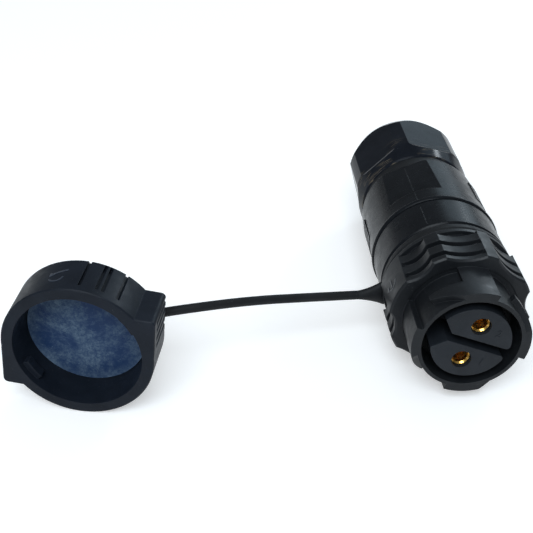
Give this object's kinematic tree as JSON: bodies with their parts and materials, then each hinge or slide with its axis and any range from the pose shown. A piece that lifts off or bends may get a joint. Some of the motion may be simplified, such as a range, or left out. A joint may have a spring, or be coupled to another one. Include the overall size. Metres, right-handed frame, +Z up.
{
  "type": "inline socket connector",
  "caption": "Round waterproof inline cable connector with a two-contact socket, bayonet lugs, scalloped grip, cable gland and a tethered dust cap.",
  "frame": {"origin": "on the surface that the connector lies on, under the middle of the connector's box", "axes": "+Z up, -Y the way the socket faces, +X to the right of a viewer who looks into the socket from the front, with the dust cap on the -X side"},
  "size_m": [0.1117, 0.08, 0.0316],
  "materials": {
    "housing_plastic": "satin black glass-filled nylon",
    "shell_plastic": "semi-gloss black nylon",
    "nut_plastic": "gloss black nylon",
    "cap_plastic": "satin black nylon",
    "insert_plastic": "matt dark grey",
    "cage_plastic": "matt dark grey",
    "black_rubber": "matt black",
    "blue_rubber": "dusty blue silicone",
    "gold_plated_brass": "polished gold plate",
    "spring_bronze": "bright",
    "screw_steel": "plated"
  },
  "bodies": {
    "connector": {"front_housing": "housing_plastic", "contact_insert": "insert_plastic", "interface_seal": "black_rubber", "insert_retainer": "housing_plastic", "housing_o_ring": "black_rubber", "socket_contact_1": "gold_plated_brass", "socket_contact_2": "gold_plated_brass", "contact_spring_1": "spring_bronze", "contact_spring_2": "spring_bronze", "terminal_screw_1": "screw_steel", "terminal_screw_2": "screw_steel", "rear_shell": "shell_plastic", "neck_seal_ring": "black_rubber", "gland_cage": "cage_plastic", "gland_seal": "black_rubber", "tether_collar": "black_rubber", "tether_strap": "black_rubber", "tether_end_ring": "black_rubber"},
    "gland_nut": {"gland_nut": "nut_plastic"},
    "dust_cap": {"cap_shell": "cap_plastic", "cap_gasket": "blue_rubber", "cap_button": "cap_plastic"}
  },
  "joints": [
    {"name": "nut_turn", "type": "hinge", "parent": "connector", "child": "gland_nut", "pos_m": [0, 0.02894, 0.0144], "axis": [0, 0.9999, -0.0152], "range_deg": [0, 2520]},
    {"name": "cap_swivel", "type": "hinge", "parent": "connector", "child": "dust_cap", "pos_m": [-0.07774, -0.02533, 0.0158], "axis": [0.1994, 0.9799, 0], "continuous": true}
  ]
}
